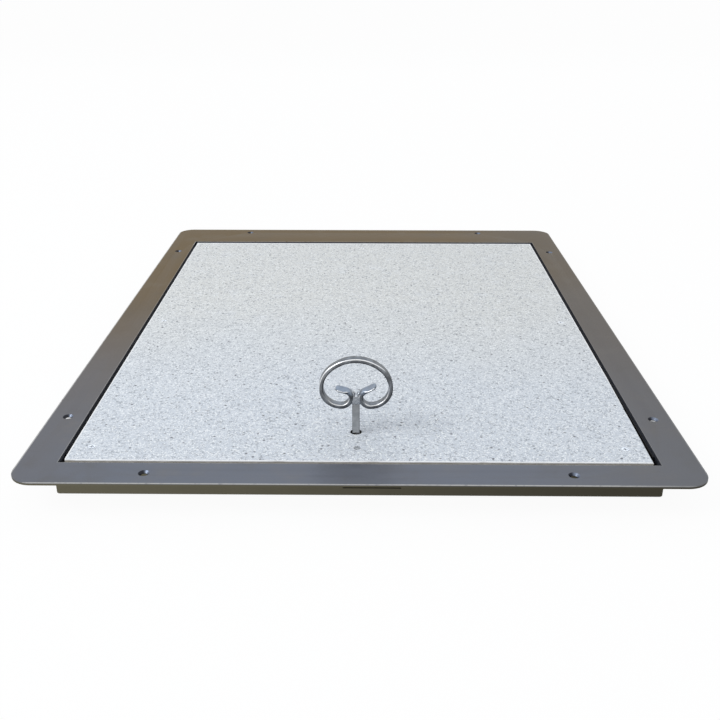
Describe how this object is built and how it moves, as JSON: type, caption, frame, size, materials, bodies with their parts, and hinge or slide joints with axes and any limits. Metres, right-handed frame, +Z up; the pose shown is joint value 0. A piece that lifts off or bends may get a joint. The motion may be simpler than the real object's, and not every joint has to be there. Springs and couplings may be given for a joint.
{
  "type": "access hatch",
  "caption": "Fire-rated access hatch: a folded steel frame with a screw flange and a mineral board leaf on hidden hinges, locked by a square key that stands in its lock.",
  "frame": {"origin": "middle of the frame at the underside of its collar, where it stands", "axes": "+X across the hatch to the right, +Y from the lock side to the hinge side, +Z up through the flange towards the key"},
  "size_m": [0.6, 0.8, 0.107],
  "materials": {
    "paint": "satin grey-brown metallic paint",
    "rubber": "matt black",
    "graphite": "dull graphite grey",
    "galvanised": "galvanised sheet with a faint spangle",
    "zinc": "bright zinc plating",
    "spring": "blackened spring steel",
    "key_steel": "dull blue-grey zinc-plated steel",
    "weld": "rippled weld, plated over",
    "mineral_board": "pale grey fire board with fine dark and light specks",
    "mineral_wool": "matt pressed mineral wool"
  },
  "bodies": {
    "frame": {"surround_frame": "paint", "seal_front": "rubber", "seal_back": "rubber", "seal_left": "rubber", "seal_right": "rubber", "fire_strip_front": "graphite", "fire_strip_left": "graphite", "fire_strip_right": "graphite", "hinge_bracket_left": "galvanised", "hinge_bracket_right": "galvanised", "bracket_rivets": "galvanised", "hinge_pin_left": "zinc", "hinge_pin_right": "zinc", "pin_clips": "spring"},
    "leaf": {"board": "mineral_board", "board_screws": "zinc", "rail_front": "galvanised", "rail_back": "galvanised", "stile_left": "galvanised", "stile_right": "galvanised", "cross_rail": "galvanised", "insulation_front": "mineral_wool", "insulation_rear": "mineral_wool", "hinge_arm_left": "galvanised", "hinge_arm_right": "galvanised", "arm_screws": "zinc", "arm_nuts": "zinc", "lock_body": "zinc", "lock_screws": "zinc"},
    "lock": {"core": "zinc", "cam": "zinc", "cam_washer": "zinc", "cam_screw": "zinc", "key_shaft": "key_steel", "key_bow": "key_steel", "key_weld": "weld"}
  },
  "joints": [
    {"name": "leaf_hinge", "type": "hinge", "parent": "frame", "child": "leaf", "pos_m": [0, 0.336, 0.024], "axis": [-1, 0, 0], "range_deg": [0, 95]},
    {"name": "lock_turn", "type": "hinge", "parent": "leaf", "child": "lock", "pos_m": [-0.0033, -0.3055, 0.02], "axis": [0, 0, 1], "range_deg": [-90, 0]}
  ]
}
